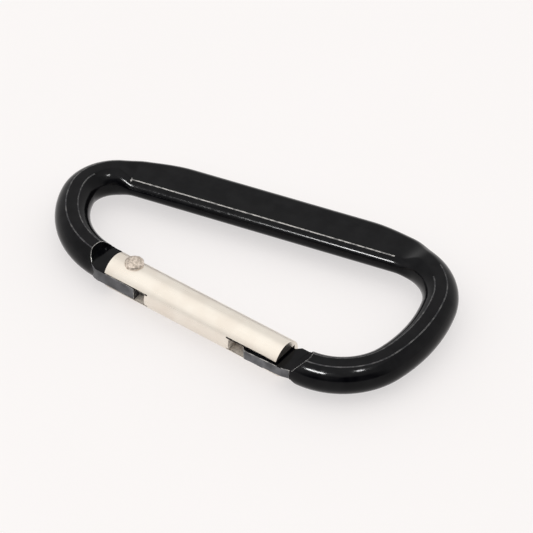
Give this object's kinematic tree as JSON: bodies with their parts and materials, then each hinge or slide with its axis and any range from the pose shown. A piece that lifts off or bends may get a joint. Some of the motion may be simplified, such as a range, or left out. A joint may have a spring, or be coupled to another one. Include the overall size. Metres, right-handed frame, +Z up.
{
  "type": "carabiner keyring",
  "caption": "D-shaped snap carabiner bent from round rod, with a coined flat spine and a sprung gate that swings inwards on a rivet.",
  "frame": {"origin": "centre of the whole outline seen from above, at the level of the lowest point, which is the lower rivet head", "axes": "+X along the closed gate from the hinge to the nose, +Y from the gate to the spine, +Z up through the flat-lying carabiner"},
  "size_m": [0.08, 0.0428, 0.0091],
  "materials": {
    "black_anodised": "glossy black anodised aluminium",
    "silver_aluminium": "satin clear anodised aluminium",
    "rivet_metal": "peened bare aluminium",
    "plunger_steel": "turned steel",
    "spring_steel": "drawn spring wire"
  },
  "bodies": {
    "frame": {"frame": "black_anodised"},
    "gate": {"gate": "silver_aluminium", "hinge_rivet": "rivet_metal", "gate_spring": "spring_steel"},
    "plunger": {"spring_plunger": "plunger_steel"}
  },
  "joints": [
    {"name": "gate_hinge", "type": "hinge", "parent": "frame", "child": "gate", "pos_m": [-0.01363, -0.01724, 0.00455], "axis": [0, 0, 1], "range_deg": [0, 35], "stiffness_Nm_per_rad": 0.003, "springref_deg": -57.3},
    {"name": "plunger_slide", "type": "slide", "parent": "gate", "child": "plunger", "axis": [1, 0, 0], "range_m": [0, 0.0006], "deforming": ["gate_spring"]}
  ],
  "couplings": [
    {"joint": "plunger_slide", "follows": "gate_hinge", "m_per_rad": 0.000939}
  ]
}
